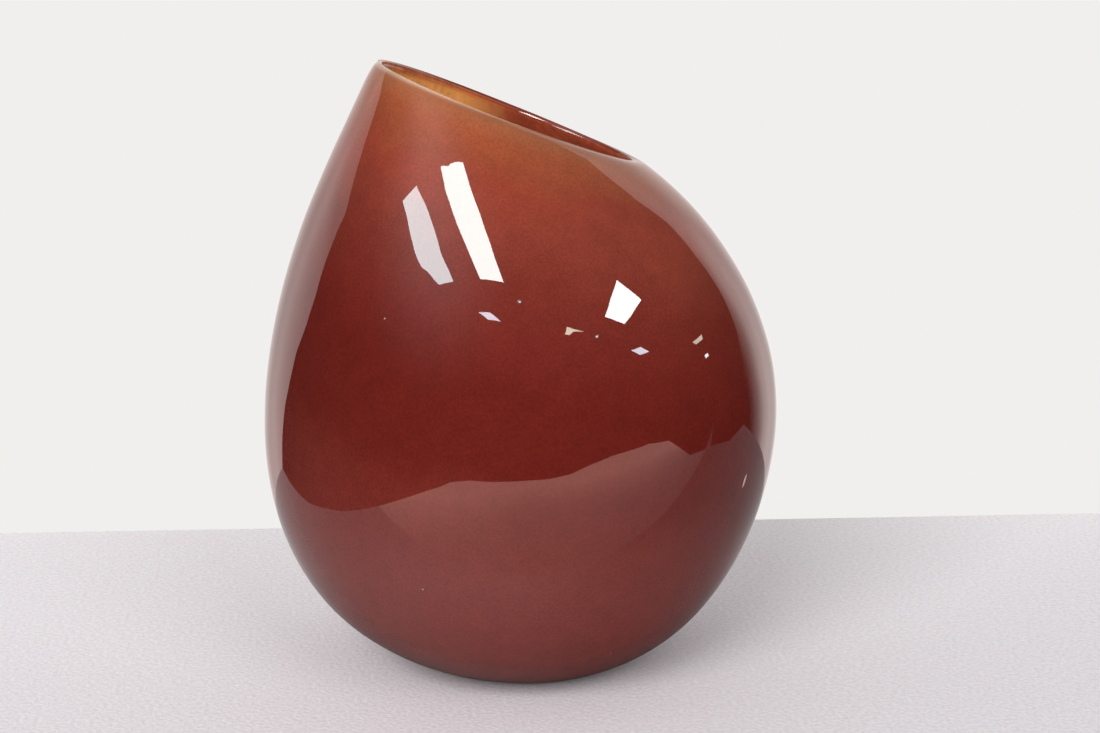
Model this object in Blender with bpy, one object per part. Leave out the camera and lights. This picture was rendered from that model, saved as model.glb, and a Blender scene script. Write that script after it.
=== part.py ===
"""Art glass vase, hand blown and cased: a gourd-shaped body that leans up to a mouth cut on a slant.

The wall is three layers of glass, one over the other, as they lie in the real vase. Each layer is a solid of
its own: the clear casing outside, the colour layer under it and the amber lining inside.

Metres, +Z up. The table is at Z = 0, and the middle of the body's width is at X = 0. The mouth is high on the
-X side and low on the +X side, and the XZ plane is the plane of symmetry.
"""

import math

import bmesh
import bpy
import numpy as np
from mathutils import Vector

# Body: where the outline passes through on either side, measured from the middle and from the table. The bottom
# is the one that was blown, before its foot was ground flat.
FOOT_GROUND_OFF = 0.005
FLANK_HEIGHT = 0.028
FLANK_REACH_HIGH_SIDE = 0.0892
FLANK_REACH_LOW_SIDE = 0.0866
BELLY_HALF_WIDTH = 0.125
BELLY_HEIGHT_HIGH_SIDE = 0.1106
BELLY_HEIGHT_LOW_SIDE = 0.1227
SHOULDER_REACH_HIGH_SIDE = 0.1078
SHOULDER_REACH_LOW_SIDE = 0.1015
SHOULDER_HEIGHT_HIGH_SIDE = 0.212
SHOULDER_HEIGHT_LOW_SIDE = 0.205

# Mouth: where the outer wall ends on either side, how far each wall leans in from upright there and how stiffly
# it holds that lean, as a share of the way down to the shoulder
LIP_REACH_HIGH_SIDE = 0.0682
LIP_REACH_LOW_SIDE = 0.0571
LIP_HEIGHT_HIGH_SIDE = 0.2987
LIP_HEIGHT_LOW_SIDE = 0.2513
LIP_LEAN_HIGH_SIDE = math.radians(24.9)
LIP_LEAN_LOW_SIDE = math.radians(55.1)
LIP_HOLD_HIGH_SIDE_SHARE = 1.03
LIP_HOLD_LOW_SIDE_SHARE = 0.80

# Sections are round up to the belly, then draw in to a mouth that is a little shallow and egg shaped. The higher
# its power, the later on the way up a change sets in.
MOUTH_HALF_DEPTH = 0.059
MOUTH_TAPER_SHARE = 0.16
SHALLOW_POWER = 7
TAPER_POWER = 3

# Glass layers, from the outside in, and the thick glass that gathers in the bottom of the casing and thins out
# on the way up to the belly
CASING_WALL = 0.0020
COLOUR_WALL = 0.0010
LINING_WALL = 0.0016
LAYER_CLEARANCE = 0.0003
CASING_AT_BOTTOM = 0.012
BOTTOM_GLASS_REACH_SHARE = 0.6

# Polished dish where the punty rod was broken off
PUNTY_DISH_DIAMETER = 0.030
PUNTY_DISH_DEPTH = 0.0015
GRINDING_OVERRUN = 0.010

# Facets
SIDES = 48
RINGS_UNDER_BELLY = 13
RINGS_OVER_BELLY = 10
CROWN_STEPS = 8
DISH_RINGS = 64
SMOOTH_ANGLE = math.radians(30)
TANGENT_STEP = 1e-4
TABLE_TOLERANCE = 1e-6

# Places up the wall, counted in knots of the outline from the bottom
AT_BOTTOM, AT_BELLY, AT_LIP = 0, 2, 4

WALL = CASING_WALL + COLOUR_WALL + LINING_WALL + 2 * LAYER_CLEARANCE
CROWN_RADIUS = WALL / 2


def slope_at_lip(lip, shoulder, side, lean, hold):
    """Slope of the outline at a lip, going up the wall. Side is -1 for the high side, 1 for the low."""
    return np.array((-side * math.sin(lean), math.cos(lean))) * hold * np.linalg.norm(lip - shoulder)


def even_slopes(knots, first, last):
    """Slopes at the knots that carry the curvature on evenly through each one, from the first to the last."""
    rule = np.eye(len(knots))
    wanted = np.array([first, *(3 * (after - before) for before, after in zip(knots, knots[2:])), last])
    for i in range(1, len(knots) - 1):
        rule[i, i - 1 : i + 2] = (1, 4, 1)
    return np.linalg.solve(rule, wanted)


def outline_knots():
    """Knots of the outline in the XZ plane and its slopes there, from the high lip round the bottom to the low."""
    knots = np.array(
        (
            (-LIP_REACH_HIGH_SIDE, LIP_HEIGHT_HIGH_SIDE),
            (-SHOULDER_REACH_HIGH_SIDE, SHOULDER_HEIGHT_HIGH_SIDE),
            (-BELLY_HALF_WIDTH, BELLY_HEIGHT_HIGH_SIDE),
            (-FLANK_REACH_HIGH_SIDE, FLANK_HEIGHT),
            (0, -FOOT_GROUND_OFF),
            (FLANK_REACH_LOW_SIDE, FLANK_HEIGHT),
            (BELLY_HALF_WIDTH, BELLY_HEIGHT_LOW_SIDE),
            (SHOULDER_REACH_LOW_SIDE, SHOULDER_HEIGHT_LOW_SIDE),
            (LIP_REACH_LOW_SIDE, LIP_HEIGHT_LOW_SIDE),
        )
    )
    down = -slope_at_lip(knots[0], knots[1], -1, LIP_LEAN_HIGH_SIDE, LIP_HOLD_HIGH_SIDE_SHARE)
    up = slope_at_lip(knots[-1], knots[-2], 1, LIP_LEAN_LOW_SIDE, LIP_HOLD_LOW_SIDE_SHARE)
    return knots, even_slopes(knots, down, up)


KNOTS, SLOPES = outline_knots()


def outline(place):
    """Point of the outline, from place 0 at the high lip to 2 * AT_LIP at the low lip."""
    i = min(int(place), len(KNOTS) - 2)
    share = place - i
    rest = 1 - share
    handles = KNOTS[i] + SLOPES[i] / 3, KNOTS[i + 1] - SLOPES[i + 1] / 3
    x, z = (
        rest**3 * KNOTS[i]
        + 3 * rest**2 * share * handles[0]
        + 3 * rest * share**2 * handles[1]
        + share**3 * KNOTS[i + 1]
    )
    return Vector((x, 0, z))


def ease(share):
    """Smooth step from 0 to 1."""
    share = min(max(share, 0), 1)
    return share * share * (3 - 2 * share)


def blown_surface(angle, t):
    """Point of the vase's outer surface. The section at t spans the outline from side to side, so sections fan
    open like the leaves of a book, from level at the bottom to the slant of the mouth."""
    high, low = outline(AT_LIP - t), outline(AT_LIP + t)
    half_span = (low - high) / 2
    over_belly = max(t - AT_BELLY, 0) / (AT_LIP - AT_BELLY)
    mouth_half_span = (outline(2 * AT_LIP) - outline(0)).length / 2
    depth_share = 1 - (1 - MOUTH_HALF_DEPTH / mouth_half_span) * over_belly**SHALLOW_POWER
    egg = 1 - MOUTH_TAPER_SHARE * over_belly**TAPER_POWER * math.cos(angle)
    point = (high + low) / 2 + half_span * math.cos(angle)
    point.y = half_span.length * depth_share * egg * math.sin(angle)
    return point


def wall_frame(angle, t):
    """Outward normal of the outer surface, and the direction up the wall to the lip."""
    before, after = max(t - TANGENT_STEP, AT_BOTTOM), min(t + TANGENT_STEP, AT_LIP)
    up_wall = blown_surface(angle, after) - blown_surface(angle, before)
    around = blown_surface(angle + TANGENT_STEP, t) - blown_surface(angle - TANGENT_STEP, t)
    return around.cross(up_wall).normalized(), up_wall.normalized()


def ring(t, depth, rise=0):
    """Loop of points at a depth into the wall and, at the lip, a rise beyond its edge."""
    points = []
    for side in range(SIDES):
        angle = math.tau * side / SIDES
        outward, up_wall = wall_frame(angle, t)
        points.append(blown_surface(angle, t) - outward * depth + up_wall * rise)
    return points


def bottom_glass(t):
    """Glass that the casing has at t beyond its plain wall, thickest at the bottom."""
    return (CASING_AT_BOTTOM - CASING_WALL) * (1 - ease(t / (AT_BELLY * BOTTOM_GLASS_REACH_SHARE)))


def face_depth(depth_at_lip, t):
    """Depth at t of the face with this depth at the lip. The bottom glass lifts every face but the outermost."""
    return depth_at_lip + bottom_glass(t) if depth_at_lip > 0 else 0


def wall_places():
    """Places of the rings between the bottom's centre and the lip."""
    under = [AT_BELLY * (i + 1) / RINGS_UNDER_BELLY for i in range(RINGS_UNDER_BELLY)]
    over = [AT_BELLY + (AT_LIP - AT_BELLY) * (i + 1) / RINGS_OVER_BELLY for i in range(RINGS_OVER_BELLY - 1)]
    return under + over


def crown(outer_depth, inner_depth):
    """Depths and rises along one layer's share of the lip's half-round crown."""
    start = math.acos(1 - outer_depth / CROWN_RADIUS)
    end = math.acos(max(1 - inner_depth / CROWN_RADIUS, -1))
    steps = max(round(CROWN_STEPS * (end - start) / math.pi), 1)
    turns = [start + (end - start) * i / steps for i in range(steps + 1)]
    return [(CROWN_RADIUS * (1 - math.cos(turn)), CROWN_RADIUS * math.sin(turn)) for turn in turns]


def layer_mesh(name, outer_depth, inner_depth):
    """Closed shell of one layer: up its outer face, over its share of the crown and down its inner face.
    Its quads start from corners that make all layers split along the same diagonals, so facets stay parallel."""
    places = wall_places()
    rising = [ring(t, face_depth(outer_depth, t)) for t in places]
    rising += [ring(AT_LIP, depth, rise) for depth, rise in crown(outer_depth, inner_depth)]
    falling = [ring(t, face_depth(inner_depth, t)) for t in reversed(places)]
    bottom = Vector((0, 0, -FOOT_GROUND_OFF))

    shell = bmesh.new()
    rows = [[shell.verts.new(point) for point in loop] for loop in rising + falling]
    outer_centre = shell.verts.new(bottom + Vector((0, 0, face_depth(outer_depth, AT_BOTTOM))))
    inner_centre = shell.verts.new(bottom + Vector((0, 0, face_depth(inner_depth, AT_BOTTOM))))
    for here in range(SIDES):
        beside = (here + 1) % SIDES
        shell.faces.new((outer_centre, rows[0][beside], rows[0][here]))
        for place, (row, next_row) in enumerate(zip(rows, rows[1:])):
            corners = [row[here], row[beside], next_row[beside], next_row[here]]
            if place >= len(rising) - 1:
                corners = corners[1:] + corners[:1]
            shell.faces.new(corners)
        shell.faces.new((inner_centre, rows[-1][here], rows[-1][beside]))
    made = bpy.data.meshes.new(name)
    shell.to_mesh(made)
    shell.free()
    return made


def linear(hex_colour):
    """Linear colour with alpha from an sRGB hex value."""
    channels = [int(hex_colour[i : i + 2], 16) / 255 for i in (1, 3, 5)]
    return [c / 12.92 if c <= 0.04045 else ((c + 0.055) / 1.055) ** 2.4 for c in channels] + [1]


def glass(name, hex_colour, roughness, clarity):
    """Soda glass of a colour. Clarity is the share of light that goes through it."""
    material = bpy.data.materials.new(name)
    material.use_nodes = True
    shader = material.node_tree.nodes["Principled BSDF"]
    shader.inputs["Base Color"].default_value = linear(hex_colour)
    shader.inputs["Metallic"].default_value = 0
    shader.inputs["Roughness"].default_value = roughness
    shader.inputs["Transmission Weight"].default_value = clarity
    shader.inputs["IOR"].default_value = 1.5
    return material


def mark_crisp(mesh):
    """Marks the corners of the layer's edge at the lip crisp, and the rims of the flat ring ground on its foot."""
    shape = bmesh.new()
    shape.from_mesh(mesh)
    for edge in shape.edges:
        ground = [max(abs(v.co.z) for v in face.verts) < TABLE_TOLERANCE for face in edge.link_faces]
        edge.smooth = edge.calc_face_angle() < SMOOTH_ANGLE and ground[0] == ground[1]
    shape.to_mesh(mesh)
    shape.free()


def add_layer(name, outer_depth, wall, material, vase):
    """One layer of the wall as an object, smooth and parented to the vase."""
    layer = bpy.data.objects.new(name, layer_mesh(name, outer_depth, outer_depth + wall))
    layer.data.materials.append(material)
    layer.data.shade_smooth()
    mark_crisp(layer.data)
    layer.parent = vase
    bpy.data.collections["art_glass_vase"].objects.link(layer)
    return layer


def as_cutter(name):
    """Makes the new primitive a cutter, drawn as wire and left out of the render."""
    cutter = bpy.context.object
    cutter.name = name
    cutter.display_type = "WIRE"
    cutter.hide_render = True
    for collection in list(cutter.users_collection):
        collection.objects.unlink(cutter)
    bpy.data.collections["cutters"].objects.link(cutter)
    return cutter


def grinding_wheel():
    """Flat wheel face at table height, which grinds the foot flat."""
    reach = FOOT_GROUND_OFF + GRINDING_OVERRUN
    bpy.ops.mesh.primitive_cube_add(size=1, location=(0, 0, -reach / 2))
    bpy.context.object.scale = (2 * BELLY_HALF_WIDTH, 2 * BELLY_HALF_WIDTH, reach)
    return as_cutter("grinding_wheel")


def polishing_ball():
    """Round stone that leaves the punty dish: the ball whose cap has the dish's diameter and depth."""
    radius = ((PUNTY_DISH_DIAMETER / 2) ** 2 + PUNTY_DISH_DEPTH**2) / (2 * PUNTY_DISH_DEPTH)
    bpy.ops.mesh.primitive_uv_sphere_add(
        segments=SIDES,
        ring_count=DISH_RINGS,
        radius=radius,
        location=(0, 0, PUNTY_DISH_DEPTH - radius),
    )
    return as_cutter("polishing_ball")


def cut(piece, *cutters):
    """Takes the cutters out of the piece, and leaves it a mesh of its own with crisp edges where they met it."""
    for cutter in cutters:
        modifier = piece.modifiers.new(cutter.name, "BOOLEAN")
        modifier.operation = "DIFFERENCE"
        modifier.object = cutter
    graph = bpy.context.evaluated_depsgraph_get()
    remaining = bpy.data.meshes.new_from_object(piece.evaluated_get(graph))
    piece.modifiers.clear()
    piece.data = remaining
    remaining.name = piece.name
    mark_crisp(remaining)


def main():
    for old in list(bpy.data.objects):
        bpy.data.objects.remove(old)
    for name in ("art_glass_vase", "cutters"):
        bpy.context.scene.collection.children.link(bpy.data.collections.new(name))
    vase = bpy.data.objects.new("vase", None)
    bpy.data.collections["art_glass_vase"].objects.link(vase)

    under_casing = CASING_WALL + LAYER_CLEARANCE
    under_colour = under_casing + COLOUR_WALL + LAYER_CLEARANCE
    clear = glass("clear_glass", "#F4F1EA", 0.02, 1.0)
    oxblood = glass("oxblood_glass", "#7C2E20", 0.10, 0.15)
    amber = glass("amber_glass", "#B57B3C", 0.08, 0.15)
    casing = add_layer("clear_casing", 0, CASING_WALL, clear, vase)
    add_layer("colour_layer", under_casing, COLOUR_WALL, oxblood, vase)
    add_layer("amber_lining", under_colour, LINING_WALL, amber, vase)
    cut(casing, grinding_wheel(), polishing_ball())


main()
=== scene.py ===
"""Look of a cased art glass vase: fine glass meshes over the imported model, a table and soft light."""

import math

import bmesh
import bpy
import numpy as np
from mathutils import Matrix, Vector, noise


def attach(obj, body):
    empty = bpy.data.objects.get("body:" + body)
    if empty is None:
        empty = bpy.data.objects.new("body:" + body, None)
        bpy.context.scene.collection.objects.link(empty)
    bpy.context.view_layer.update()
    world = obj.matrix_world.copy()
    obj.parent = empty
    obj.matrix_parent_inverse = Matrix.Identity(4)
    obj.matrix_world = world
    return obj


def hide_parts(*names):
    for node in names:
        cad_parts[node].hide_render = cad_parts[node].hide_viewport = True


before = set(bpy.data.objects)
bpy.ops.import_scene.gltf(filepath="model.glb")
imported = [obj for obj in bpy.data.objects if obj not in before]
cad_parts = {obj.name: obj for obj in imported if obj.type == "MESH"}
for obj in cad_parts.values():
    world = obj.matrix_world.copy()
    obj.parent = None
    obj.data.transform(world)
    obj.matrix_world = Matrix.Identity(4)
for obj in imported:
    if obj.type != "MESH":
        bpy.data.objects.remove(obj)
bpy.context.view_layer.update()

# The vase's surface, with the sizes of the solids, in metres
FOOT_GROUND_OFF = 0.005
OUTLINE = np.array(
    (
        (-0.0682, 0.2987),
        (-0.1078, 0.212),
        (-0.125, 0.1106),
        (-0.0892, 0.028),
        (0, -FOOT_GROUND_OFF),
        (0.0866, 0.028),
        (0.125, 0.1227),
        (0.1015, 0.205),
        (0.0571, 0.2513),
    )
)
LIP_LEAN_HIGH_SIDE = math.radians(24.9)
LIP_LEAN_LOW_SIDE = math.radians(55.1)
LIP_HOLD_HIGH_SIDE_SHARE = 1.03
LIP_HOLD_LOW_SIDE_SHARE = 0.80
MOUTH_HALF_DEPTH = 0.059
MOUTH_TAPER_SHARE = 0.16
SHALLOW_POWER = 7
TAPER_POWER = 3

# Places up the wall run from 0 under the middle of the foot, past the belly, to the lip
AT_BELLY, AT_LIP = 2, 4

# The skin lies just deep enough in the wall for its ripples to stay inside the solids' box
SKIN = 0.0003

# Depths of the layers' faces at the lip. Fused layers meet half way across the gap that parts the solids.
CASING_FACES = SKIN, 0.00215
COLOUR_FACES = 0.00215, 0.00345
LINING_FACES = 0.00345, 0.0052
CASING_AT_BOTTOM = 0.012
BOTTOM_GLASS_REACH_SHARE = 0.6
CASING_WALL = 0.002

# The fire-polished lip: its crown, and how deep the flame rounded off each side over the last reach of places
CROWN_RADIUS = 0.0026
CROWN_RISE = 0.0014
ROUNDED_REACH = 0.12
ROUNDED_OUTSIDE = 0.0017
ROUNDED_INSIDE = 0.0011

# Widths and heights of the ripples that tools and heat left in the wall
RIPPLES = (0.024, 0.00009), (0.010, 0.00002)

# The bottom is ground flat on a wheel, and polished out where the punty was broken off
WHEEL_WIDTH = 0.3
PUNTY_DISH_DIAMETER = 0.030
PUNTY_DISH_DEPTH = 0.0015

# Facets of the fine meshes
SIDES = 288
SHOWN_RINGS = 200
HIDDEN_RINGS = 24
ROUNDED_RINGS = 24
CROWN_STEPS = 24
DISH_RINGS = 360
SMOOTH_ANGLE = math.radians(35)
TABLE_TOLERANCE = 1e-6


def slopes(knots):
    """Slopes at the outline's knots that carry its curvature on evenly."""
    leans = (
        (-1, LIP_LEAN_HIGH_SIDE, LIP_HOLD_HIGH_SIDE_SHARE),
        (1, LIP_LEAN_LOW_SIDE, LIP_HOLD_LOW_SIDE_SHARE),
    )
    ends = (knots[0], knots[1]), (knots[-1], knots[-2])
    first, last = (
        np.array((-side * math.sin(lean), math.cos(lean))) * hold * np.linalg.norm(lip - shoulder)
        for (side, lean, hold), (lip, shoulder) in zip(leans, ends)
    )
    wanted = np.array([-first, *(3 * (after - before) for before, after in zip(knots, knots[2:])), last])
    rule = np.eye(len(knots))
    for i in range(1, len(knots) - 1):
        rule[i, i - 1 : i + 2] = (1, 4, 1)
    return np.linalg.solve(rule, wanted)


SLOPES = slopes(OUTLINE)


def outline(places):
    """Points of the outline in the XZ plane, from place 0 at the high lip to 2 * AT_LIP at the low lip."""
    places = np.asarray(places, float)
    i = np.minimum(places.astype(int), len(OUTLINE) - 2)
    share = (places - i)[..., None]
    rest = 1 - share
    return (
        rest**3 * OUTLINE[i]
        + 3 * rest**2 * share * (OUTLINE[i] + SLOPES[i] / 3)
        + 3 * rest * share**2 * (OUTLINE[i + 1] - SLOPES[i + 1] / 3)
        + share**3 * OUTLINE[i + 1]
    )


def blown_surface(angle, t):
    """Points of the outer surface. Sections fan open from level at the bottom to the slant of the mouth."""
    high, low = outline(AT_LIP - t), outline(AT_LIP + t)
    middle, half_span = (high + low) / 2, (low - high) / 2
    over_belly = np.maximum(t - AT_BELLY, 0) / (AT_LIP - AT_BELLY)
    mouth_half_span = np.linalg.norm(outline(2 * AT_LIP) - outline(0)) / 2
    depth = np.linalg.norm(half_span, axis=-1)
    depth *= 1 - (1 - MOUTH_HALF_DEPTH / mouth_half_span) * over_belly**SHALLOW_POWER
    depth *= 1 - MOUTH_TAPER_SHARE * over_belly**TAPER_POWER * np.cos(angle)
    across = middle + half_span * np.cos(angle)[..., None]
    return np.stack((across[..., 0], depth * np.sin(angle), across[..., 1]), axis=-1)


def wall_frame(angle, t, step=1e-4):
    """Outward normals of the outer surface, and the directions up the wall."""
    over, under = np.minimum(t + step, AT_LIP), np.maximum(t - step, 0)
    up_wall = blown_surface(angle, over) - blown_surface(angle, under)
    around = blown_surface(angle + step, t) - blown_surface(angle - step, t)
    outward = np.cross(around, up_wall)
    outward /= np.linalg.norm(outward, axis=-1, keepdims=True)
    return outward, up_wall / np.linalg.norm(up_wall, axis=-1, keepdims=True)


def ripple(points):
    """Depths of the ripples in the wall at points of its surface."""
    places = [Vector(point) for point in points.reshape(-1, 3)]
    waves = (height * np.array([noise.noise(place / width) for place in places]) for width, height in RIPPLES)
    return sum(waves).reshape(points.shape[:-1])


def in_wall(angle, t, depth, rise):
    """Points at depths into the rippled wall and rises beyond its lip."""
    surface = blown_surface(angle, t)
    outward, up_wall = wall_frame(angle, t)
    return surface - outward * (depth + ripple(surface))[..., None] + up_wall * rise[..., None]


def rings(t, depth, rise=0.0):
    """Loops of points, one for each place t, at their depths into the wall and rises beyond the lip."""
    angle = np.arange(SIDES) / SIDES * math.tau
    each_ring = (np.atleast_1d(value)[:, None] for value in (t, depth, rise))
    return in_wall(*np.broadcast_arrays(angle, *each_ring))


def face_depth(depth_at_lip, t):
    """Depths of the face with this depth at the lip. The bottom glass lifts every face but the skin."""
    share = np.clip(t / (AT_BELLY * BOTTOM_GLASS_REACH_SHARE), 0, 1)
    lift = (CASING_AT_BOTTOM - CASING_WALL) * (1 - share * share * (3 - 2 * share))
    return depth_at_lip + (lift if depth_at_lip > SKIN else 0 * lift)


def rounding(t):
    """Share of the rounding at the lip that a face has at places further down the wall."""
    share = np.clip((t - AT_LIP + ROUNDED_REACH) / ROUNDED_REACH, 0, 1)
    return 1 - np.sqrt(1 - share * share)


def places_up(count):
    """Places up the wall from the first ring to the lip, closer together where it is rounded off."""
    evenly = np.linspace(0, AT_LIP - ROUNDED_REACH, count)[1:]
    return np.append(evenly, np.linspace(evenly[-1], AT_LIP, ROUNDED_RINGS + 1)[1:-1])


def crown(faces):
    """Depths and rises along a layer's share of the lip's half-round crown."""
    start, end = (math.acos(max(1 - depth / CROWN_RADIUS, -1)) for depth in faces)
    steps = max(round(CROWN_STEPS * (end - start) / math.pi), 2)
    turns = np.linspace(start, end, steps + 1)
    return CROWN_RADIUS * (1 - np.cos(turns)), CROWN_RISE * np.sin(turns)


def new_piece(name, mesh):
    """New object in the scene with a mesh."""
    piece = bpy.data.objects.new(name, mesh)
    bpy.context.scene.collection.objects.link(piece)
    return piece


def layer(name, faces, rings_outside, rings_inside, off_outside=0, off_inside=0):
    """Closed mesh of one layer of the wall: up its outer face, over the crown and down its inner face."""
    outside = places_up(rings_outside)
    inside = places_up(rings_inside)[::-1]
    rising = rings(outside, face_depth(faces[0], outside) + off_outside * rounding(outside))
    crown_depths, crown_rises = crown(faces)
    crown_depths = np.clip(crown_depths, faces[0] + off_outside, faces[1] - off_inside)
    over = rings(np.full(len(crown_depths), AT_LIP), crown_depths, crown_rises)
    falling = rings(inside, face_depth(faces[1], inside) - off_inside * rounding(inside))
    loops = np.concatenate((rising, over, falling))
    bottom = np.array((0, 0, -FOOT_GROUND_OFF))
    centres = [bottom + (0, 0, float(face_depth(depth, 0.0))) for depth in faces]
    here = np.arange(SIDES)
    beside = (here + 1) % SIDES
    row = np.arange(len(loops) - 1)[:, None] * SIDES
    quads = np.stack((row + here, row + beside, row + SIDES + beside, row + SIDES + here), axis=-1)
    last = row[-1, 0] + SIDES
    outer = len(loops) * SIDES
    caps = [(outer, b, h) for h, b in zip(here.tolist(), beside.tolist())]
    caps += [(outer + 1, last + h, last + b) for h, b in zip(here.tolist(), beside.tolist())]
    mesh = bpy.data.meshes.new(name)
    mesh.from_pydata([*loops.reshape(-1, 3).tolist(), *centres], [], [*quads.reshape(-1, 4).tolist(), *caps])
    return new_piece(name, mesh)


def linear(hex_colour):
    """Linear colour with alpha from an sRGB hex value."""
    channels = [int(hex_colour[i : i + 2], 16) / 255 for i in (1, 3, 5)]
    return [c / 12.92 if c <= 0.04045 else ((c + 0.055) / 1.055) ** 2.4 for c in channels] + [1]


def add(tree, kind, settings=None, inputs=None):
    """Adds a node with its settings, and its inputs from values or from other nodes' sockets."""
    made = tree.nodes.new(kind)
    for key, value in (settings or {}).items():
        setattr(made, key, value)
    for key, value in (inputs or {}).items():
        if isinstance(value, bpy.types.NodeSocket):
            tree.links.new(value, made.inputs[key])
        else:
            made.inputs[key].default_value = value
    return made


def new_material(name):
    """Node material with nothing in it but its output."""
    material = bpy.data.materials.new(name)
    material.use_nodes = True
    material.node_tree.nodes.clear()
    output = material.node_tree.nodes.new("ShaderNodeOutputMaterial")
    return material, material.node_tree, output.inputs["Surface"]


def paint(ramp, low, high, stops):
    """Sets a ramp that runs from a low to a high value to colours, through stops of (value, hex colour)."""
    points = ramp.color_ramp.elements
    points[0].color = linear(stops[0][1])
    points[1].color = linear(stops[-1][1])
    for at, colour in stops[1:-1]:
        points.new((at - low) / (high - low)).color = linear(colour)


# An overlay with grey noise makes a colour lighter and darker round itself, by up to the factor either way
OVERLAY = {"data_type": "RGBA", "blend_type": "OVERLAY"}

# Numbers of the mix node's colour sockets: the two that go in and the blend that comes out
FIRST, SECOND, BLEND = 6, 7, 2

# The plane of the mouth, which holds the edge of the lip, and the depths under it that the colours span
MOUTH_RUN, MOUTH_RISE = OUTLINE[-1] - OUTLINE[0]
MOUTH_NORMAL = Vector((-MOUTH_RISE, 0, MOUTH_RUN)).normalized()
MOUTH_PLANE = MOUTH_NORMAL.dot(Vector((OUTLINE[0][0], 0, OUTLINE[0][1])))
ABOVE_MOUTH, BELOW_MOUTH = -0.003, 0.260


def below_mouth(tree, place, wander, reach, from_depth):
    """Share of the way down through those depths, which wander shifts by its reach from a depth on."""
    along = add(tree, "ShaderNodeVectorMath", {"operation": "DOT_PRODUCT"}, {0: place, 1: MOUTH_NORMAL})
    height = along.outputs["Value"]
    begins, full = MOUTH_PLANE - from_depth, MOUTH_PLANE - 3 * from_depth
    limits = {"Value": height, "From Min": begins, "From Max": full, "To Max": reach}
    weight = add(tree, "ShaderNodeMapRange", None, limits).outputs["Result"]
    shift = add(tree, "ShaderNodeMath", {"operation": "SUBTRACT"}, {0: wander, 1: 0.5}).outputs[0]
    links = {0: shift, 1: weight, 2: height}
    moved = add(tree, "ShaderNodeMath", {"operation": "MULTIPLY_ADD"}, links).outputs[0]
    highest, lowest = MOUTH_PLANE - ABOVE_MOUTH, MOUTH_PLANE - BELOW_MOUTH
    limits = {"Value": moved, "From Min": highest, "From Max": lowest}
    return add(tree, "ShaderNodeMapRange", None, limits).outputs["Result"]


def cased_oxblood():
    """Blown soda glass: oxblood powder melted on under clear glass.

    The clear gather gives it a wet, mirror-smooth gloss over a deep colour, and the powder stays visible as a
    fine grain. Towards the mouth, where the wall was pulled thin, the colour is painted lighter and more
    orange, with light shining through the thin wall from the amber lining. The lip's pale edge, where
    the clear glass is alone, is painted light too: the pale room that the clear glass mirrors and lets
    through. Towards the bottom the colour is painted lighter again, with light that the table throws up.
    """
    material, tree, surface = new_material("cased_oxblood_glass")
    place = add(tree, "ShaderNodeTexCoord").outputs["Object"]
    # The tones shift up and down in patches about 30 mm wide; the lighter ones near the mouth, painted light
    # through the thin wall, reach less far down towards the low side of the mouth
    patches = add(tree, "ShaderNodeTexNoise", None, {"Vector": place, "Scale": 1 / 0.030})
    across = add(tree, "ShaderNodeSeparateXYZ", None, {0: place}).outputs["X"]
    limits = {"Value": across, "From Min": -0.060, "From Max": 0.125, "To Min": -0.3, "To Max": -1.2}
    thinning = add(tree, "ShaderNodeMapRange", None, limits).outputs["Result"]
    links = {0: patches.outputs["Fac"], 1: 1.6, 2: thinning}
    wander = add(tree, "ShaderNodeMath", {"operation": "MULTIPLY_ADD"}, links).outputs[0]
    down = below_mouth(tree, place, wander, 0.020, 0.006)
    # The pale lip edge and the orange near the mouth are painted light over the glass's own deep oxblood
    glow = add(tree, "ShaderNodeValToRGB", None, {"Fac": down})
    paint(
        glow,
        ABOVE_MOUTH,
        BELOW_MOUTH,
        (
            (-0.003, "#C8AE9E"),
            (-0.0003, "#C4A48E"),
            (0.0004, "#A2745C"),
            (0.0015, "#965838"),
            (0.010, "#92482B"),
            (0.021, "#894027"),
            (0.032, "#853625"),
            (0.049, "#783023"),
            (0.067, "#69251B"),
            (0.089, "#631F18"),
            (0.110, "#5B1A14"),
            # From here down the colour is painted lighter, with light that the table throws up
            (0.145, "#5B1B15"),
            (0.170, "#64251E"),
            (0.200, "#6A2B25"),
            (0.260, "#6E2E27"),
        ),
    )
    # Powder grains are about 0.5 mm wide in the real glass, and drawn 1.1 mm wide so that they show
    grains = add(tree, "ShaderNodeTexNoise", None, {"Vector": place, "Scale": 1 / 0.0011, "Detail": 1.0})
    limits = {"Value": grains.outputs["Fac"], "From Min": 0.32, "From Max": 0.68}
    powder = add(tree, "ShaderNodeMapRange", None, limits)
    # The clear glass at the edge of the lip has no powder in it
    limits = {"Value": down, "From Min": 0.012, "From Max": 0.025, "To Max": 0.11}
    powder_share = add(tree, "ShaderNodeMapRange", None, limits).outputs["Result"]
    # Clouds about 9 mm wide, where the powder melted together
    clouds = add(tree, "ShaderNodeTexNoise", None, {"Vector": place, "Scale": 1 / 0.009, "Detail": 3.0})
    links = {"Factor": powder_share, FIRST: glow.outputs["Color"], SECOND: powder.outputs["Result"]}
    speckled = add(tree, "ShaderNodeMix", OVERLAY, links).outputs[BLEND]
    links = {"Factor": 0.14, FIRST: speckled, SECOND: clouds.outputs["Fac"]}
    mottled = add(tree, "ShaderNodeMix", OVERLAY, links).outputs[BLEND]
    shader = add(
        tree,
        "ShaderNodeBsdfPrincipled",
        None,
        {
            "Base Color": mottled,
            "Roughness": 0.5,
            "IOR": 1.5,
            "Specular IOR Level": 0.0,
            "Coat Weight": 1.0,
            "Coat Roughness": 0.015,
            "Coat IOR": 1.5,
        },
    )
    tree.links.new(shader.outputs["BSDF"], surface)
    return material


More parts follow.
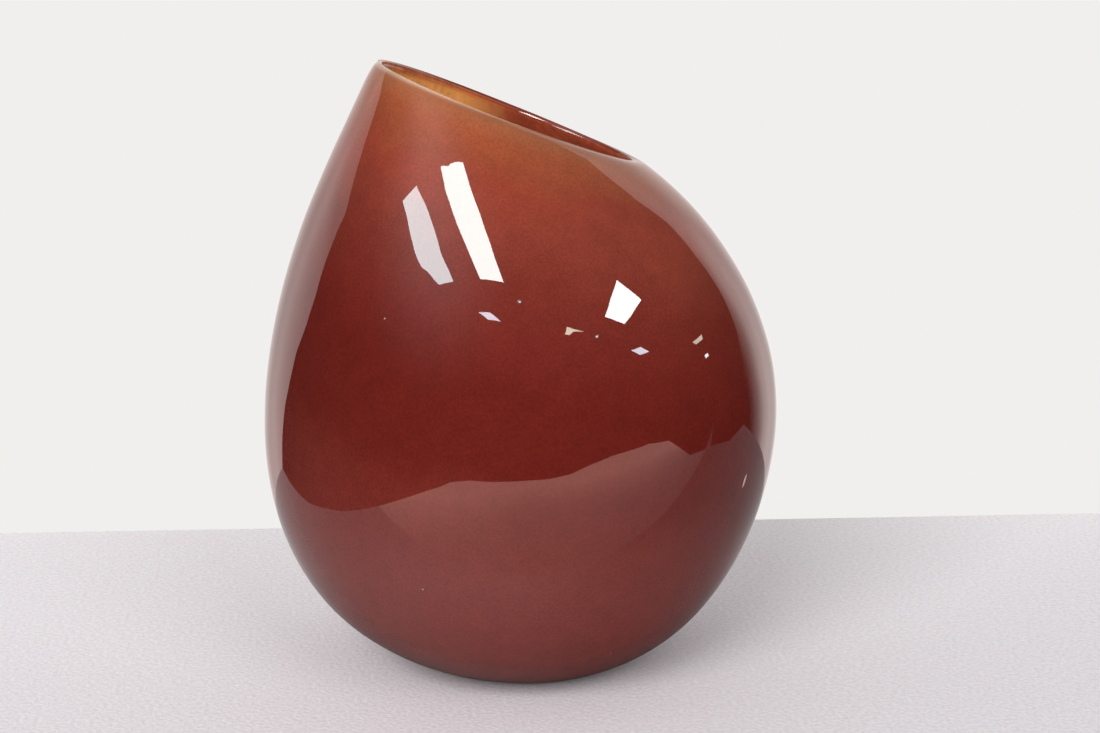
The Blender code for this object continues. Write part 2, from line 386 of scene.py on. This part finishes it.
def colour_edge():
    """Oxblood glass at the fire-polished lip, where the flame rounded the cut edge of the layer."""
    material, tree, surface = new_material("oxblood_glass_edge")
    place = add(tree, "ShaderNodeTexCoord").outputs["Object"]
    # Grain about 2.5 mm wide, where the flame ran the powder together
    grain = add(tree, "ShaderNodeTexNoise", None, {"Vector": place, "Scale": 1 / 0.0025}).outputs["Fac"]
    colour = add(tree, "ShaderNodeMix", OVERLAY, {"Factor": 0.3, FIRST: linear("#6A3026"), SECOND: grain})
    settings = {"Base Color": colour.outputs[BLEND], "Roughness": 0.06, "IOR": 1.5}
    shader = add(tree, "ShaderNodeBsdfPrincipled", None, settings)
    tree.links.new(shader.outputs["BSDF"], surface)
    return material


def amber():
    """Amber glass gathered on the blowpipe as the lining, fire-polished and drawn out in streaks up the wall.

    It turns dark at the lip, where it runs thin and the oxblood shows through it.
    """
    material, tree, surface = new_material("amber_glass_lining")
    place = add(tree, "ShaderNodeTexCoord").outputs["Object"]
    # Streaks about 3 mm wide and five times as long
    along = add(tree, "ShaderNodeMapping", None, {"Vector": place, "Scale": (1.0, 1.0, 0.2)})
    settings = {"Vector": along.outputs["Vector"], "Scale": 1 / 0.0032, "Detail": 3.0, "Roughness": 0.6}
    streaks = add(tree, "ShaderNodeTexNoise", None, settings).outputs["Fac"]
    down = below_mouth(tree, place, streaks, 0.005, 0.002)
    thick = add(tree, "ShaderNodeValToRGB", None, {"Fac": down})
    paint(
        thick,
        ABOVE_MOUTH,
        BELOW_MOUTH,
        (
            (-0.003, "#82544A"),
            (-0.0008, "#7A4534"),
            (0.0020, "#82482C"),
            (0.0030, "#92552C"),
            (0.0043, "#AA723E"),
            (0.010, "#B07C48"),
            (0.045, "#AA7440"),
            (0.120, "#925A32"),
            (0.260, "#824A28"),
        ),
    )
    # Round the low side of the mouth the lining is darker and redder
    thin = add(tree, "ShaderNodeValToRGB", None, {"Fac": down})
    paint(
        thin,
        ABOVE_MOUTH,
        BELOW_MOUTH,
        (
            (-0.003, "#70403A"),
            (0.001, "#6C2F22"),
            (0.003, "#723221"),
            (0.006, "#723221"),
            (0.260, "#602414"),
        ),
    )
    # The streaks break up the line between the two tones, by up to 30 mm
    across = add(tree, "ShaderNodeSeparateXYZ", None, {0: place}).outputs["X"]
    links = {0: streaks, 1: 0.030, 2: across}
    streaky = add(tree, "ShaderNodeMath", {"operation": "MULTIPLY_ADD"}, links).outputs[0]
    limits = {"Value": streaky, "From Min": -0.0065, "From Max": 0.0180}
    thinning = add(tree, "ShaderNodeMapRange", None, limits).outputs["Result"]
    links = {"Factor": thinning, FIRST: thick.outputs["Color"], SECOND: thin.outputs["Color"]}
    tone = add(tree, "ShaderNodeMix", {"data_type": "RGBA"}, links).outputs[BLEND]
    links = {"Factor": 0.6, FIRST: tone, SECOND: streaks}
    streaked = add(tree, "ShaderNodeMix", OVERLAY, links).outputs[BLEND]
    # The emission stands for the light that a pale room sends through the wall
    settings = {
        "Base Color": streaked,
        "Roughness": 0.05,
        "IOR": 1.5,
        "Emission Color": streaked,
        "Emission Strength": 0.6,
    }
    shader = add(tree, "ShaderNodeBsdfPrincipled", None, settings)
    tree.links.new(shader.outputs["BSDF"], surface)
    return material


def ground_glass():
    """Glass ground flat on a wheel: fine scratches from the grit scatter light, so it looks pale and dull."""
    material, tree, surface = new_material("ground_glass_foot")
    place = add(tree, "ShaderNodeTexCoord").outputs["Object"]
    # Grit of about 0.15 mm, drawn 0.5 mm wide so that it shows
    grit = add(tree, "ShaderNodeTexNoise", None, {"Vector": place, "Scale": 1 / 0.0005, "Detail": 3.0})
    height = grit.outputs["Fac"]
    colour = add(tree, "ShaderNodeMix", OVERLAY, {"Factor": 0.3, FIRST: linear("#8C5A50"), SECOND: height})
    bump = add(tree, "ShaderNodeBump", None, {"Height": height, "Strength": 0.3, "Distance": 0.00005})
    settings = {
        "Base Color": colour.outputs[BLEND],
        "Roughness": 0.55,
        "IOR": 1.5,
        "Normal": bump.outputs["Normal"],
    }
    shader = add(tree, "ShaderNodeBsdfPrincipled", None, settings)
    tree.links.new(shader.outputs["BSDF"], surface)
    return material


def trapped_gas(name, hex_colour):
    """Bubble of gas in the glass: its skin turns light back at the middle and hides it round the rim."""
    material, tree, surface = new_material(name)
    place = add(tree, "ShaderNodeTexCoord").outputs["Object"]
    # Film on the bubble, in spots about 0.6 mm wide
    film = add(tree, "ShaderNodeTexNoise", None, {"Vector": place, "Scale": 1 / 0.0006}).outputs["Fac"]
    colour = add(tree, "ShaderNodeMix", OVERLAY, {"Factor": 0.2, FIRST: linear(hex_colour), SECOND: film})
    settings = {
        "Base Color": colour.outputs[BLEND],
        "Roughness": 0.3,
        "Coat Weight": 1.0,
        "Coat Roughness": 0.015,
    }
    shader = add(tree, "ShaderNodeBsdfPrincipled", None, settings)
    tree.links.new(shader.outputs["BSDF"], surface)
    return material


def foam_sheet():
    """Expanded polyethylene foam laid on the table: white, matt and softly pitted."""
    material, tree, surface = new_material("foam_sheet")
    place = add(tree, "ShaderNodeTexCoord").outputs["Object"]
    # Cells about 2 mm wide
    pits = add(tree, "ShaderNodeTexNoise", None, {"Vector": place, "Scale": 1 / 0.0022, "Detail": 3.0})
    height = pits.outputs["Fac"]
    limits = {"Value": height, "From Min": 0.3, "From Max": 0.7}
    cells = add(tree, "ShaderNodeMapRange", None, limits).outputs["Result"]
    colour = add(tree, "ShaderNodeMix", OVERLAY, {"Factor": 0.30, FIRST: linear("#E9E4E8"), SECOND: cells})
    bump = add(tree, "ShaderNodeBump", None, {"Height": height, "Strength": 0.5, "Distance": 0.0010})
    settings = {
        "Base Color": colour.outputs[BLEND],
        "Roughness": 1.0,
        "Specular IOR Level": 0.0,
        "Normal": bump.outputs["Normal"],
    }
    shader = add(tree, "ShaderNodeBsdfPrincipled", None, settings)
    tree.links.new(shader.outputs["BSDF"], surface)
    return material


def plain_glow(name, hex_colour, strength=1.0):
    """Surface that shows one even tone, whatever the light."""
    material, tree, surface = new_material(name)
    shader = add(tree, "ShaderNodeEmission", None, {"Color": linear(hex_colour), "Strength": strength})
    tree.links.new(shader.outputs["Emission"], surface)
    return material


def mirrored_foam():
    """Foam as the glass mirrors it: dark under the belly and in the vase's shade at its right."""
    material, tree, surface = new_material("mirrored_foam")
    place = add(tree, "ShaderNodeNewGeometry").outputs["Position"]
    reach = add(tree, "ShaderNodeVectorMath", {"operation": "LENGTH"}, {0: place}).outputs["Value"]
    nearest, farthest = 0.045, 0.200
    limits = {"Value": reach, "From Min": nearest, "From Max": farthest}
    share = add(tree, "ShaderNodeMapRange", None, limits).outputs["Result"]
    open_light = add(tree, "ShaderNodeValToRGB", None, {"Fac": share})
    paint(
        open_light,
        nearest,
        farthest,
        (
            (nearest, "#393939"),
            (0.068, "#6C6A6C"),
            (0.094, "#8C8A8C"),
            (0.131, "#BCBABC"),
            (0.165, "#D7D5D7"),
            (farthest, "#E0DEE0"),
        ),
    )
    # How squarely a place lies towards the shade, from -1 on the far side of the vase to 1
    shade_side = (0.978, -0.208, 0)
    aim = add(tree, "ShaderNodeVectorMath", {"operation": "NORMALIZE"}, {0: place}).outputs["Vector"]
    along = add(tree, "ShaderNodeVectorMath", {"operation": "DOT_PRODUCT"}, {0: aim, 1: shade_side})
    share = add(tree, "ShaderNodeMapRange", None, {"Value": along.outputs["Value"], "From Min": -1.0})
    shade = add(tree, "ShaderNodeValToRGB", None, {"Fac": share.outputs["Result"]})
    paint(
        shade,
        -1,
        1,
        (
            (-1, "#D3D3D3"),
            (-0.85, "#DADADA"),
            (-0.6, "#F9F9F9"),
            (-0.3, "#FFFFFF"),
            (0, "#F9F9F9"),
            (0.2, "#F1F1F1"),
            (0.45, "#D7D7D7"),
            (0.68, "#BFBFBF"),
            (0.87, "#B6B6B6"),
            (1, "#AEAEAE"),
        ),
    )
    links = {"Factor": 1.0, FIRST: open_light.outputs["Color"], SECOND: shade.outputs["Color"]}
    tone = add(tree, "ShaderNodeMix", {"data_type": "RGBA", "blend_type": "MULTIPLY"}, links).outputs[BLEND]
    tree.links.new(add(tree, "ShaderNodeEmission", None, {"Color": tone}).outputs["Emission"], surface)
    return material


def mirrored_table():
    """Bare table before the foam as the glass mirrors it, lighter towards its front and its left."""
    material, tree, surface = new_material("mirrored_table")
    place = add(tree, "ShaderNodeNewGeometry").outputs["Position"]
    parts = add(tree, "ShaderNodeSeparateXYZ", None, {0: place}).outputs
    # How lit a place is: it gains by these amounts for each metre to the left and to the front
    gain_left, gain_front = 1.8, 2.6
    links = {0: parts["X"], 1: -gain_left}
    to_left = add(tree, "ShaderNodeMath", {"operation": "MULTIPLY"}, links).outputs[0]
    to_left = add(tree, "ShaderNodeMath", {"operation": "MAXIMUM"}, {0: to_left, 1: 0.0}).outputs[0]
    links = {0: parts["Y"], 1: -gain_front, 2: to_left}
    lit = add(tree, "ShaderNodeMath", {"operation": "MULTIPLY_ADD"}, links).outputs[0]
    dimmest, brightest = 0.4, 1.5
    share = add(tree, "ShaderNodeMapRange", None, {"Value": lit, "From Min": dimmest, "From Max": brightest})
    tone = add(tree, "ShaderNodeValToRGB", None, {"Fac": share.outputs["Result"]})
    paint(tone, dimmest, brightest, ((dimmest, "#787171"), (0.80, "#A49795"), (brightest, "#FFCFC3")))
    glow = {"Color": tone.outputs["Color"], "Strength": 2.6}
    tree.links.new(add(tree, "ShaderNodeEmission", None, glow).outputs["Emission"], surface)
    return material


def mirrored_wall():
    """Pale wall as the glass mirrors it, dimmer behind the vase, at the far end and higher up."""
    material, tree, surface = new_material("mirrored_wall")
    place = add(tree, "ShaderNodeNewGeometry").outputs["Position"]
    parts = add(tree, "ShaderNodeSeparateXYZ", None, {0: place}).outputs
    left, right = -0.40, 0.66
    share = add(tree, "ShaderNodeMapRange", None, {"Value": parts["X"], "From Min": left, "From Max": right})
    tone = add(tree, "ShaderNodeValToRGB", None, {"Fac": share.outputs["Result"]})
    paint(
        tone,
        left,
        right,
        (
            (left, "#FFEFEB"),
            (-0.31, "#FFEFEB"),
            (-0.24, "#D5CAC7"),
            (0.26, "#D5CAC7"),
            (0.33, "#FFEFEB"),
            (0.40, "#FFEFEB"),
            (0.48, "#BEB2AF"),
            (0.58, "#787070"),
            (right, "#302C2C"),
        ),
    )
    limits = {"Value": parts["Z"], "From Min": 0.30, "From Max": 0.36, "To Min": 1.34, "To Max": 1.05}
    power = add(tree, "ShaderNodeMapRange", None, limits).outputs["Result"]
    glow = {"Color": tone.outputs["Color"], "Strength": power}
    tree.links.new(add(tree, "ShaderNodeEmission", None, glow).outputs["Emission"], surface)
    return material


def finished(piece, material):
    """Gives a piece its material, smooth shading and its place in the model."""
    piece.data.materials.append(material)
    piece.data.shade_smooth()
    piece.data.set_sharp_from_angle(angle=SMOOTH_ANGLE)
    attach(piece, "root")


def ground_and_polished(piece):
    """Grinds the foot flat at table height and polishes the round dish into it."""
    radius = ((PUNTY_DISH_DIAMETER / 2) ** 2 + PUNTY_DISH_DEPTH**2) / (2 * PUNTY_DISH_DEPTH)
    tools = []
    bpy.ops.mesh.primitive_cube_add(size=WHEEL_WIDTH, location=(0, 0, -WHEEL_WIDTH / 2))
    tools.append(bpy.context.object)
    bpy.ops.mesh.primitive_uv_sphere_add(
        segments=SIDES // 2,
        ring_count=DISH_RINGS,
        radius=radius,
        location=(0, 0, PUNTY_DISH_DEPTH - radius),
    )
    tools.append(bpy.context.object)
    for tool in tools:
        modifier = piece.modifiers.new(tool.name, "BOOLEAN")
        modifier.operation = "DIFFERENCE"
        modifier.object = tool
    remaining = bpy.data.meshes.new_from_object(piece.evaluated_get(bpy.context.evaluated_depsgraph_get()))
    piece.modifiers.clear()
    piece.data = remaining
    for tool in tools:
        bpy.data.objects.remove(tool)


# The three layers of the wall, with most rings on the faces that show
wall = layer("cased_wall", CASING_FACES, SHOWN_RINGS, HIDDEN_RINGS, off_outside=ROUNDED_OUTSIDE)
ground_and_polished(wall)
finished(wall, cased_oxblood())
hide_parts("clear_casing")
wall.data.materials.append(ground_glass())
for face in wall.data.polygons:
    if max(abs(wall.data.vertices[v].co.z) for v in face.vertices) < TABLE_TOLERANCE:
        face.material_index = 1

edge = layer("oxblood_edge", COLOUR_FACES, HIDDEN_RINGS, HIDDEN_RINGS)
finished(edge, colour_edge())
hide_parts("colour_layer")

lining = layer("amber_inside", LINING_FACES, HIDDEN_RINGS, SHOWN_RINGS, off_inside=ROUNDED_INSIDE)
finished(lining, amber())
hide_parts("amber_lining")

# Gas bubbles in the skin: angle round the vase, place up its wall, half width, half length, lean and height
SEED_BEADS = (
    (-93.5, 2.933, 0.00048, 0.00048, 0, 0.00010),
    (-76.8, 2.747, 0.00052, 0.00052, 0, 0.00010),
    (-126.2, 2.818, 0.00030, 0.00034, 0, 0.00008),
    (-117.5, 1.565, 0.00030, 0.00030, 0, 0.00008),
    (-38.5, 1.884, 0.00075, 0.00330, -22, 0.00010),
)
SEED_RIMS = (
    (-93.5, 2.933, 0.00105, 0.00105, 0, 0.00005),
    (-76.8, 2.747, 0.00110, 0.00110, 0, 0.00005),
    (-126.2, 2.818, 0.00070, 0.00075, 0, 0.00004),
    (-117.5, 1.565, 0.00070, 0.00070, 0, 0.00004),
    (-142.5, 2.247, 0.00075, 0.00060, 0, 0.00004),
)


def bubbles(name, seeds, material):
    """Lens-shaped bubbles in one mesh, each at its place in the wall."""
    shape = bmesh.new()
    for angle, t, half_width, half_length, lean, height in seeds:
        at = np.array([math.radians(angle)]), np.array([t])
        centre = in_wall(*at, np.array([SKIN]), np.zeros(1))[0]
        outward, up_wall = (Vector(direction[0]) for direction in wall_frame(*at))
        turned = Matrix((up_wall.cross(outward), up_wall, outward)).transposed().to_4x4()
        size = Matrix.Diagonal((half_width, half_length, height, 1))
        turned @= Matrix.Rotation(math.radians(lean), 4, "Z") @ size
        placed = Matrix.Translation(centre) @ turned
        bmesh.ops.create_icosphere(shape, subdivisions=3, radius=1, matrix=placed)
    mesh = bpy.data.meshes.new(name)
    shape.to_mesh(mesh)
    shape.free()
    finished(new_piece(name, mesh), material)


# The beads' pale tone is a painted highlight where the bubbles turn light back, the dark rims painted shade
bubbles("seed_beads", SEED_BEADS, trapped_gas("bubble_glint", "#C9A79C"))
bubbles("seed_rims", SEED_RIMS, trapped_gas("bubble_rim", "#4A1812"))


def sheet(name, corners, material):
    """Flat stage piece through its corners."""
    mesh = bpy.data.meshes.new(name)
    mesh.from_pydata(corners, [], [list(range(len(corners)))])
    mesh.materials.append(material)
    piece = new_piece(name, mesh)
    return piece


def seen_by(piece, camera=False, glossy=False, diffuse=False):
    """Limits which rays meet a stage piece."""
    piece.visible_camera = camera
    piece.visible_glossy = glossy
    piece.visible_diffuse = diffuse
    piece.visible_transmission = camera
    piece.visible_shadow = False


def flat(corners, height=0):
    """Corners of a level sheet at a height."""
    return [(x, y, height) for x, y in corners]


# The wall's distance behind the vase, and how much it slants towards the front on the right
WALL_DISTANCE = 0.2243
WALL_SLANT = 0.067


def wall_line(x):
    """Depth of the line where the table meets the wall."""
    return WALL_DISTANCE - WALL_SLANT * x


# Outlines of the table, which has a rounded front, and of the foam on it
TABLE_FRONT = (
    (-0.33, 0.05),
    (-0.32, -0.08),
    (-0.335, -0.22),
    (-0.355, -0.42),
    (-0.35, -0.55),
    (-0.29, -0.61),
    (-0.10, -0.62),
    (0.06, -0.655),
    (0.18, -0.72),
    (0.34, -0.86),
    (0.62, -1.04),
    (1.35, -1.17),
)
TABLE_RIGHT = (1.30, -0.80), (0.64, -0.28), (0.72, -0.15), (0.68, 0.0)
WALL_RIGHT, WALL_LEFT = 0.82, -0.38
TABLE_BACK = [(x, wall_line(x)) for x in (WALL_RIGHT, WALL_LEFT)]
TABLE = [*TABLE_FRONT, *TABLE_RIGHT, *TABLE_BACK]
FOAM_FRONT = -0.188
FOAM = [(-0.33, FOAM_FRONT), (1.4, FOAM_FRONT), *TABLE_RIGHT[-2:], *TABLE_BACK, *TABLE_FRONT[:2]]

# The table under foam as the camera sees it, and the foam and the bare table as the glass mirrors them
SHEET_GAP = 1e-4
foam = foam_sheet()
seen_by(sheet("table", flat(TABLE), foam), camera=True, diffuse=True)
seen_by(sheet("foam_in_glass", flat(FOAM, SHEET_GAP), mirrored_foam()), glossy=True)
seen_by(sheet("table_in_glass", flat(TABLE), mirrored_table()), glossy=True)

# What only the camera sees: more foam all round the table, and the wall's pale tone beyond its line
FAR, FAR_BACK = 6, 8
WALL_TONE = "#F0EFED"
all_round = (-FAR, -FAR), (FAR, -FAR), (FAR, FAR), (-FAR, FAR)
seen_by(sheet("floor", flat(all_round, -2 * SHEET_GAP), foam), camera=True)
past_wall = (-FAR, wall_line(-FAR)), (FAR, wall_line(FAR)), (FAR, FAR_BACK), (-FAR, FAR_BACK)
seen_by(sheet("beyond", flat(past_wall, SHEET_GAP), plain_glow("pale_wall_tone", WALL_TONE)), camera=True)

# Outline of the pale wall as the glass mirrors it at its sides, in X and Z
WALL_CORNERS = (
    (WALL_LEFT, 0),
    (WALL_RIGHT, 0),
    (0.82, 0.03),
    (0.77, 0.09),
    (0.71, 0.15),
    (0.63, 0.19),
    (0.55, 0.24),
    (0.49, 0.30),
    (0.45, 0.38),
    (0.40, 0.44),
    (0.40, 0.53),
    (0.36, 0.57),
    (0.37, 0.60),
    (-0.35, 0.46),
    (-0.52, 0.46),
    (-0.70, 0.45),
    (-0.67, 0.39),
    (-0.645, 0.33),
    (-0.64, 0.27),
    (-0.60, 0.21),
    (-0.52, 0.155),
    (-0.44, 0.08),
)

# The wall's light on the vase, and the wall in the glass
wall_outline = [(x, wall_line(x), z) for x, z in WALL_CORNERS]
seen_by(sheet("wall_light", wall_outline, plain_glow("wall_light_tone", WALL_TONE)), diffuse=True)
seen_by(sheet("wall_in_glass", wall_outline, mirrored_wall()), glossy=True)


STUDIO_RADIUS = 4.0


def surround():
    """Dim studio round the table, which only reflections see: dark at eye level and lighter overhead."""
    material, tree, surface = new_material("dim_studio")
    place = add(tree, "ShaderNodeNewGeometry").outputs["Position"]
    up = add(tree, "ShaderNodeSeparateXYZ", None, {0: place}).outputs["Z"]
    lowest, highest = -1.0, STUDIO_RADIUS
    share = add(tree, "ShaderNodeMapRange", None, {"Value": up, "From Min": lowest, "From Max": highest})
    tone = add(tree, "ShaderNodeValToRGB", None, {"Fac": share.outputs["Result"]})
    stops = (lowest, "#202020"), (0.9, "#3C3836"), (2.4, "#6E6A68"), (highest, "#8A8684")
    paint(tone, lowest, highest, stops)
    # A haze of light hangs round the strip lights at the upper left
    haze_middle = (-2.1, -1.7, 2.9)
    away = add(tree, "ShaderNodeVectorMath", {"operation": "DISTANCE"}, {0: place, 1: haze_middle})
    limits = {"Value": away.outputs["Value"], "From Min": 2.8, "From Max": 0.2}
    haze = add(tree, "ShaderNodeMapRange", {"interpolation_type": "SMOOTHSTEP"}, limits).outputs["Result"]
    links = {"Factor": haze, FIRST: tone.outputs["Color"], SECOND: linear("#D8CCCC")}
    lit = add(tree, "ShaderNodeMix", {"data_type": "RGBA"}, links).outputs[BLEND]
    power = add(tree, "ShaderNodeMath", {"operation": "ADD"}, {0: haze, 1: 1.0}).outputs[0]
    shader = add(tree, "ShaderNodeEmission", None, {"Color": lit, "Strength": power})
    tree.links.new(shader.outputs["Emission"], surface)
    bpy.ops.mesh.primitive_uv_sphere_add(segments=48, ring_count=24, radius=STUDIO_RADIUS)
    dome = bpy.context.object
    dome.name = "surround"
    dome.data.materials.append(material)
    seen_by(dome, glossy=True)


surround()

# Corners of the light panels that only the glass mirrors: two strips overhead, a window and small lamps
STRIP_MAIN = (
    (-1.187, -1.268),
    (-0.931, -1.308),
    (-0.41, -1.302),
    (-0.217, -2.519),
    (-0.892, -2.517),
    (-1.08, -1.53),
)
STRIP_SIDE = (
    (-2.723, -0.845),
    (-2.107, -1.008),
    (-1.857, -1.437),
    (-1.70, -2.486),
    (-2.30, -2.47),
    (-2.62, -2.38),
)
WINDOW = (1.448, -0.775), (1.978, -0.787), (1.917, -1.472), (1.50, -1.532)
LAMP_LEFT = (-0.418, -1.094), (-0.295, -1.1), (-0.202, -1.155), (-0.342, -1.166)
LAMP_MIDDLE = (0.403, -1.047), (0.565, -1.031), (0.465, -1.072), (0.444, -1.119), (0.39, -1.132)
LAMP_RIGHT = (1.202, -1.011), (1.278, -0.904), (1.462, -0.895), (1.355, -1.011)
LAMP_FAR = (2.097, -0.24), (2.192, 0.067), (2.365, 0.059), (2.276, -0.188)
LAMP_EDGE = (2.152, -0.079), (2.169, 0.017), (2.363, 0.038), (2.347, -0.067)

# Each panel's name, height, corners, tone and strength
PANELS = (
    ("strip_main", 2.2, STRIP_MAIN, "#F6FFFC", 23),
    ("strip_side", 2.2, STRIP_SIDE, "#E9FCFF", 15.5),
    ("window", 1.5, WINDOW, "#FFFFFF", 24),
    ("lamp_left", 0.8, LAMP_LEFT, "#E7F2FF", 18),
    ("lamp_middle", 0.8, LAMP_MIDDLE, "#F7FDE6", 14),
    ("lamp_right", 0.8, LAMP_RIGHT, "#E4EFFF", 17),
    ("lamp_far", 0.8, LAMP_FAR, "#FEFFEA", 8),
    ("lamp_edge", 0.6, LAMP_EDGE, "#FFFFFF", 15),
)
for name, height, corners, tone, strength in PANELS:
    panel = sheet(name, flat(corners, height), plain_glow(name + "_glow", tone, strength))
    seen_by(panel, glossy=True)

# Square lamps that light the scene without a reflection, aimed at the vase: each one's place and radiance
LAMP_WIDTH = 1.6
LAMP_AIM = Vector((0, 0, 0.1))
LAMPS = (
    ("left_light", (-1.3, -2.6, 1.5), 12.4),
    ("right_light", (1.2, -2.6, 1.5), 4.5),
    ("side_light", (-2.2, -1.0, 1.8), 0.6),
)
for name, place, radiance in LAMPS:
    lamp = bpy.data.lights.new(name, "AREA")
    lamp.shape = "RECTANGLE"
    lamp.size, lamp.size_y = LAMP_WIDTH, LAMP_WIDTH
    lamp.energy = radiance * math.pi * LAMP_WIDTH * LAMP_WIDTH
    holder = new_piece(name, lamp)
    aim = (LAMP_AIM - Vector(place)).to_track_quat("-Z", "Y").to_matrix().to_4x4()
    holder.matrix_world = Matrix.Translation(place) @ aim
    holder.visible_glossy = False

# Even fill light, and the pale tone behind everything
FILL = 0.18
world = bpy.data.worlds.new("studio")
bpy.context.scene.world = world
world.use_nodes = True
sky = world.node_tree
sky.nodes.clear()
rays = add(sky, "ShaderNodeLightPath").outputs
links = {0: rays["Is Camera Ray"], 1: rays["Is Glossy Ray"]}
seen = add(sky, "ShaderNodeMath", {"operation": "MAXIMUM"}, links).outputs[0]
links = {0: seen, 1: rays["Is Transmission Ray"]}
seen = add(sky, "ShaderNodeMath", {"operation": "MAXIMUM"}, links).outputs[0]
fill = add(sky, "ShaderNodeBackground", None, {"Color": linear("#FFFFFF"), "Strength": FILL})
pale = add(sky, "ShaderNodeBackground", None, {"Color": linear(WALL_TONE)})
both = add(sky, "ShaderNodeMixShader", None, {0: seen, 1: fill.outputs[0], 2: pale.outputs[0]})
add(sky, "ShaderNodeOutputWorld", None, {"Surface": both.outputs[0]})

# Camera at the photograph's place: 1.03 m in front, looking down and a little to the right
CAMERA_PLACE = (-0.0924, -1.030, 0.3887)
CAMERA_DEGREES = (5.93, 13.03, -0.43)
PHOTO_WIDTH_PIXELS = 1100
FOCAL_LENGTH_PIXELS = 2172
SENSOR_WIDTH_MM = 36
NEAREST_SEEN = 0.05
yaw, pitch, roll = (math.radians(a) for a in CAMERA_DEGREES)
forward = Vector((math.sin(yaw) * math.cos(pitch), math.cos(yaw) * math.cos(pitch), -math.sin(pitch)))
level = Vector((math.cos(yaw), -math.sin(yaw), 0))
above = level.cross(forward)
right = level * math.cos(roll) + above * math.sin(roll)
over = above * math.cos(roll) - level * math.sin(roll)
lens = bpy.data.cameras.new("camera")
lens.sensor_width = SENSOR_WIDTH_MM
lens.lens = SENSOR_WIDTH_MM * FOCAL_LENGTH_PIXELS / PHOTO_WIDTH_PIXELS
lens.clip_start = NEAREST_SEEN
camera = new_piece("camera", lens)
turn = Matrix((right, over, -forward)).transposed().to_4x4()
camera.matrix_world = Matrix.Translation(CAMERA_PLACE) @ turn
bpy.context.scene.camera = camera
bpy.context.scene.view_settings.view_transform = "Standard"
